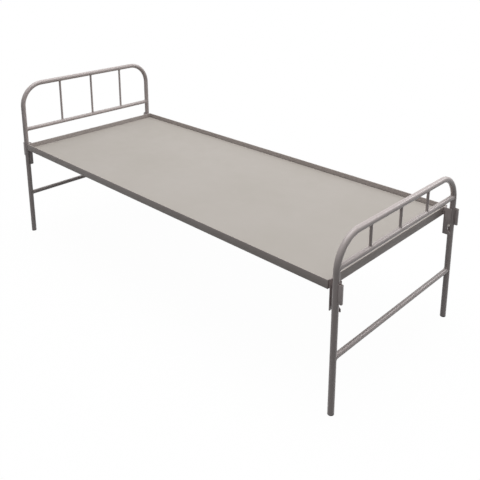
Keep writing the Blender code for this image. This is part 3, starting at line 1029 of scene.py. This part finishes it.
def weld_channel(bm, node):
    """The stitches and end beads of one channel."""
    low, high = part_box(node)
    span = 2 * NOTCH_START - STITCH_MARGIN
    stitch_z, toe_z = high.z - STITCH_DOWN, FRAME_LOW.z - TOE_DOWN
    for x, inward in ((low.x, 1), (high.x, -1)):
        stitch_x, toe_x = x + STITCH_IN * inward, x + TOE_IN * inward
        for number in range(STITCHES):
            y = span * (number / (STITCHES - 1) - 0.5)
            start, end = ((stitch_x, y + by, stitch_z) for by in (-STITCH / 2, STITCH / 2))
            weld_line(bm, start, end, STITCH_BEAD)
        for side, _ in SIDES:
            start, end = ((toe_x, side * (NOTCH_START + by), toe_z) for by in TOE_BEAD_ENDS)
            weld_line(bm, start, end, TOE_BEAD)


stitches = bmesh.new()
for number in CHANNELS:
    weld_channel(stitches, f"deck_crossbar_{number}")
add_piece("deck_channel_welds", stitches, deck_enamel, crease=60)

# %% [markdown]
# ## Four corners, one drawing
# The bed's corners are the same or mirrored. So what stands at a corner is drawn once, by how far
# out, how far in towards the middle and how far up it is from the leg's axis at the top of the
# frame. A matrix then puts it at its corner. That turns some pieces inside out, and add_piece turns
# their normals back.

# %% Define a corner's directions
def corner_place(bow, side):
    """From (out, in, up) at a corner to the bed, from the leg's axis at the top of the frame."""
    sign = bow["sign"]
    return Matrix(
        (
            (sign, 0, 0, bow["x"]),
            (0, -side, 0, side * bow["leg_y"]),
            (0, 0, 1, FRAME_HIGH.z),
            (0, 0, 0, 1),
        )
    )


def corner_box(bow, side, node):
    """The lowest and highest (out, in, up) of a node at a corner."""
    into_corner = corner_place(bow, side).inverted()
    corners = [into_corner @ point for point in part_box(node)]
    return Vector(map(min, *corners)), Vector(map(max, *corners))


for bow in bows:
    print(bow["end"], "corners at x", round(bow["x"], 4), "and y", round(bow["leg_y"], 4))

# %% [markdown]
# ## Hook brackets
# At each corner a folded plate is welded to the end rail and hangs beside the leg. Its free edge is
# cut to a hook that drops over the leg's stud. The plate's middle surface is drawn flat, its
# straight edge is spun round the fold and pulled into the wing, and solidify gives it the plate's
# thickness.

# %% Cut and fold the hook brackets
FOLD = 0.002 + PLATE / 2  # the radius at the plate's middle
BRACKET_FOLD_STEPS = 8
BRACKET_BREAK = 0.0004
SEAT = 0.0043  # the radius of the slot's round end, which lies on the stud's shank
TOP_CORNER, LOW_CORNER, SLOT_CORNER = 0.0015, 0.0015, 0.002
SLOT_MOUTH_RISE = 0.003  # the slot's corners are given as (out, up) from the stud
SLOT_INNER_TOP = (-0.005, -0.011)
SLOT_INNER_LOW = (-0.003, -0.0218)  # the centre of its rounding
HOOK_TIP_DROP = 0.0334


def hook_outline(inner_edge, stud, outer_edge, top, bottom):
    """The hook plate seen square on, as (out, up) points that start and end on the folded edge."""
    return [
        (inner_edge, top),
        *arc_points((outer_edge - TOP_CORNER, top - TOP_CORNER), TOP_CORNER, 90, 0),
        (outer_edge, stud.y + SLOT_MOUTH_RISE),
        (stud.x + SEAT, stud.y - GAP),
        *arc_points(stud, SEAT, 0, 180, 16)[1:],
        tuple(stud + Vector(SLOT_INNER_TOP)),
        *arc_points(stud + Vector(SLOT_INNER_LOW), SLOT_CORNER, 180, 240),
        (outer_edge, stud.y - HOOK_TIP_DROP),
        *arc_points((outer_edge - LOW_CORNER, bottom + LOW_CORNER), LOW_CORNER, 0, -90),
        (inner_edge, bottom),
    ]


def cut_bracket(bow, side, name):
    """One folded hook bracket."""
    node = f"{bow['end']}_{name}_hook_bracket"
    lowest, highest = corner_box(bow, side, node)
    stud_lowest, stud_highest = corner_box(bow, side, f"{bow['end']}_{name}_hook_stud")
    stud = (stud_lowest + stud_highest) / 2
    fold_x = lowest.x + PLATE / 2 + FOLD
    plate_in = highest.y - PLATE / 2
    fold_y = plate_in - FOLD
    bm = bmesh.new()
    outline = hook_outline(fold_x, Vector((stud.x, stud.z)), highest.x, highest.z, lowest.z)
    verts = [bm.verts.new((out, plate_in, up)) for out, up in outline]
    bm.faces.new(verts)
    edge = [bm.edges.get((verts[-1], verts[0]))]
    edge = carry(
        bm,
        edge,
        BRACKET_FOLD_STEPS,
        angle=math.radians(90),
        centre=(fold_x, fold_y, 0),
        axis=(0, 0, 1),
    )
    carry(bm, edge, 1, move=(0, lowest.y - fold_y, 0))
    bmesh.ops.recalc_face_normals(bm, faces=bm.faces)
    bmesh.ops.transform(bm, matrix=corner_place(bow, side), verts=bm.verts)
    piece = add_piece(node + "_enamelled", bm, bow_enamel_painted_light, [node], crease=40)
    round_edges(add_sheet_thickness(piece, PLATE, offset=0.0), BRACKET_BREAK)


for bow in bows:
    for side, name in SIDES:
        cut_bracket(bow, side, name)

# %% [markdown]
# ## Studs
# A stud with a low domed head stands on the inward side of each leg, and the hook rests on its
# shank. It is turned from bar: the outline is spun about its axis and laid across the leg.

# %% Turn the studs
SHANK = 0.004  # a radius
HEAD_HEIGHT = 0.004
HEAD_RIM = 0.0012
HEAD_BREAK = 0.0003
STUD_INTO_LEG = 0.002
STUD_SIDES = 32
DOME_STEPS = 8


def turn_stud(bow, side, name):
    """One stud, from inside the leg's wall to its dome. Returns where it meets the leg."""
    node = f"{bow['end']}_{name}_hook_stud"
    lowest, highest = corner_box(bow, side, node)
    middle, end = (lowest + highest) / 2, highest.y
    head, under_head = (highest.x - lowest.x) / 2, end - HEAD_HEIGHT
    rim = under_head + HEAD_RIM
    quarter = arc_points((0, 0), 1, 0, 90, DOME_STEPS)
    dome = [(head * out, rim + (end - rim) * up) for out, up in quarter]
    outline = [
        (0, bow["radius"] - STUD_INTO_LEG),
        (SHANK, bow["radius"] - STUD_INTO_LEG),
        (SHANK, under_head),
        (head - HEAD_BREAK, under_head),
        (head, under_head + HEAD_BREAK),
        *dome[:-1],
        (0, end),
    ]
    lay = Matrix(((1, 0, 0, middle.x), (0, 0, 1, 0), (0, -1, 0, middle.z), (0, 0, 0, 1)))
    bm = spin_outline(outline, STUD_SIDES, corner_place(bow, side) @ lay)
    add_piece(node + "_turned", bm, zinc_plate, [node])
    return corner_place(bow, side) @ Vector((middle.x, bow["radius"], middle.z))


stud_spots = {}
for bow in bows:
    for side, name in SIDES:
        stud_spots[bow["end"], name] = turn_stud(bow, side, name)

# %% [markdown]
# ## Rod sockets
# A narrow pocket of folded sheet on the outer side of each leg takes the flat end of a net or drip
# rod. A box gets two folds, loses its top and its leg side, and gets the sheet's thickness.

# %% Fold the rod sockets
SOCKET_SHEET = 0.0016
SOCKET_FOLD = 0.0026
SOCKET_BREAK = 0.0003
SOCKET_FROM_AXIS = 0.0112  # where its sides start, just inside the leg's skin


def fold_socket(bow, side, name):
    """One open-topped pocket, whose two sides reach round the leg a little."""
    node = f"{bow['end']}_{name}_rod_socket"
    lowest, highest = corner_box(bow, side, node)
    lowest.x = SOCKET_FROM_AXIS
    bm = box_between(lowest, highest)

    def is_fold(a, b):
        return min(a.x, b.x) > highest.x - SAME_SPOT and abs(a.z - b.z) > SAME_SPOT

    bevel_chosen(bm, is_fold, SOCKET_FOLD, FOLD_SEGMENTS)
    opened = []
    for face in bm.faces:
        if face.normal.z > MOSTLY or face.normal.x < -MOSTLY:
            opened.append(face)
    bmesh.ops.delete(bm, geom=opened, context="FACES_ONLY")
    bmesh.ops.transform(bm, matrix=corner_place(bow, side), verts=bm.verts)
    piece = add_piece(node + "_folded", bm, bow_enamel_painted_light, [node], crease=50)
    round_edges(add_sheet_thickness(piece, SOCKET_SHEET), SOCKET_BREAK)
    return highest.x


for bow in bows:
    for side, name in SIDES:
        socket_reach = fold_socket(bow, side, name)
print("sockets reach", round(socket_reach, 4), "out from the legs' axes")

# %% [markdown]
# ## Weld beads at the corners
# The bracket's wing is welded to the end rail down both its sides and along the rail's lower edge,
# the stud all round its shank, and the socket down both sides. Seen close, these beads tell what
# carries what.

# %% Weld the brackets, studs and sockets
WING_BEAD, EDGE_BEAD, SOCKET_BEAD = 0.0017, 0.0016, 0.0013
STUD_BEAD, STUD_BEAD_OUT = 0.0014, 0.0005
BEAD_OFF = 0.0004  # how far a bead's core stands off the side that it follows
FOLD_BEAD_IN = 0.0010  # on the wing's folded side the core lies in the round of the fold
SHORT_STOP, LONG_STOP = 0.001, 0.002  # how far from an end a bead stops


def weld_corner(bow, side, name):
    """The beads of one corner of the bed, but for the stud's."""
    bm = bmesh.new()
    corner = corner_place(bow, side)

    def weld(start, end, bead):
        weld_line(bm, corner @ Vector(start), corner @ Vector(end), bead)

    lowest, highest = corner_box(bow, side, f"{bow['end']}_{name}_hook_bracket")
    rail_out = lowest.x - GAP
    for y in (highest.y - FOLD_BEAD_IN, lowest.y - BEAD_OFF):
        weld((rail_out, y, -LONG_STOP), (rail_out, y, SHORT_STOP - FLANGE), WING_BEAD)
    edge_ends = lowest.y + SHORT_STOP, highest.y - LONG_STOP
    weld(*((rail_out, y, -FLANGE) for y in edge_ends), EDGE_BEAD)

    low, high = corner_box(bow, side, f"{bow['end']}_{name}_rod_socket")
    half = (high.y - low.y) / 2
    skin = math.sqrt(bow["radius"] ** 2 - half**2) + BEAD_OFF
    for y in (-half - BEAD_OFF, half + BEAD_OFF):
        weld((skin, y, high.z - LONG_STOP), (skin, y, low.z + LONG_STOP), SOCKET_BEAD)
    return bm


for bow in bows:
    for side, name in SIDES:
        beads = weld_corner(bow, side, name)
        spot = stud_spots[bow["end"], name]
        weld_round_leg_end(beads, bow, spot, SHANK + STUD_BEAD_OUT, STUD_BEAD)
        piece_name = f"{bow['end']}_{name}_corner_welds"
        add_piece(piece_name, beads, bow_enamel_painted_light, crease=60)
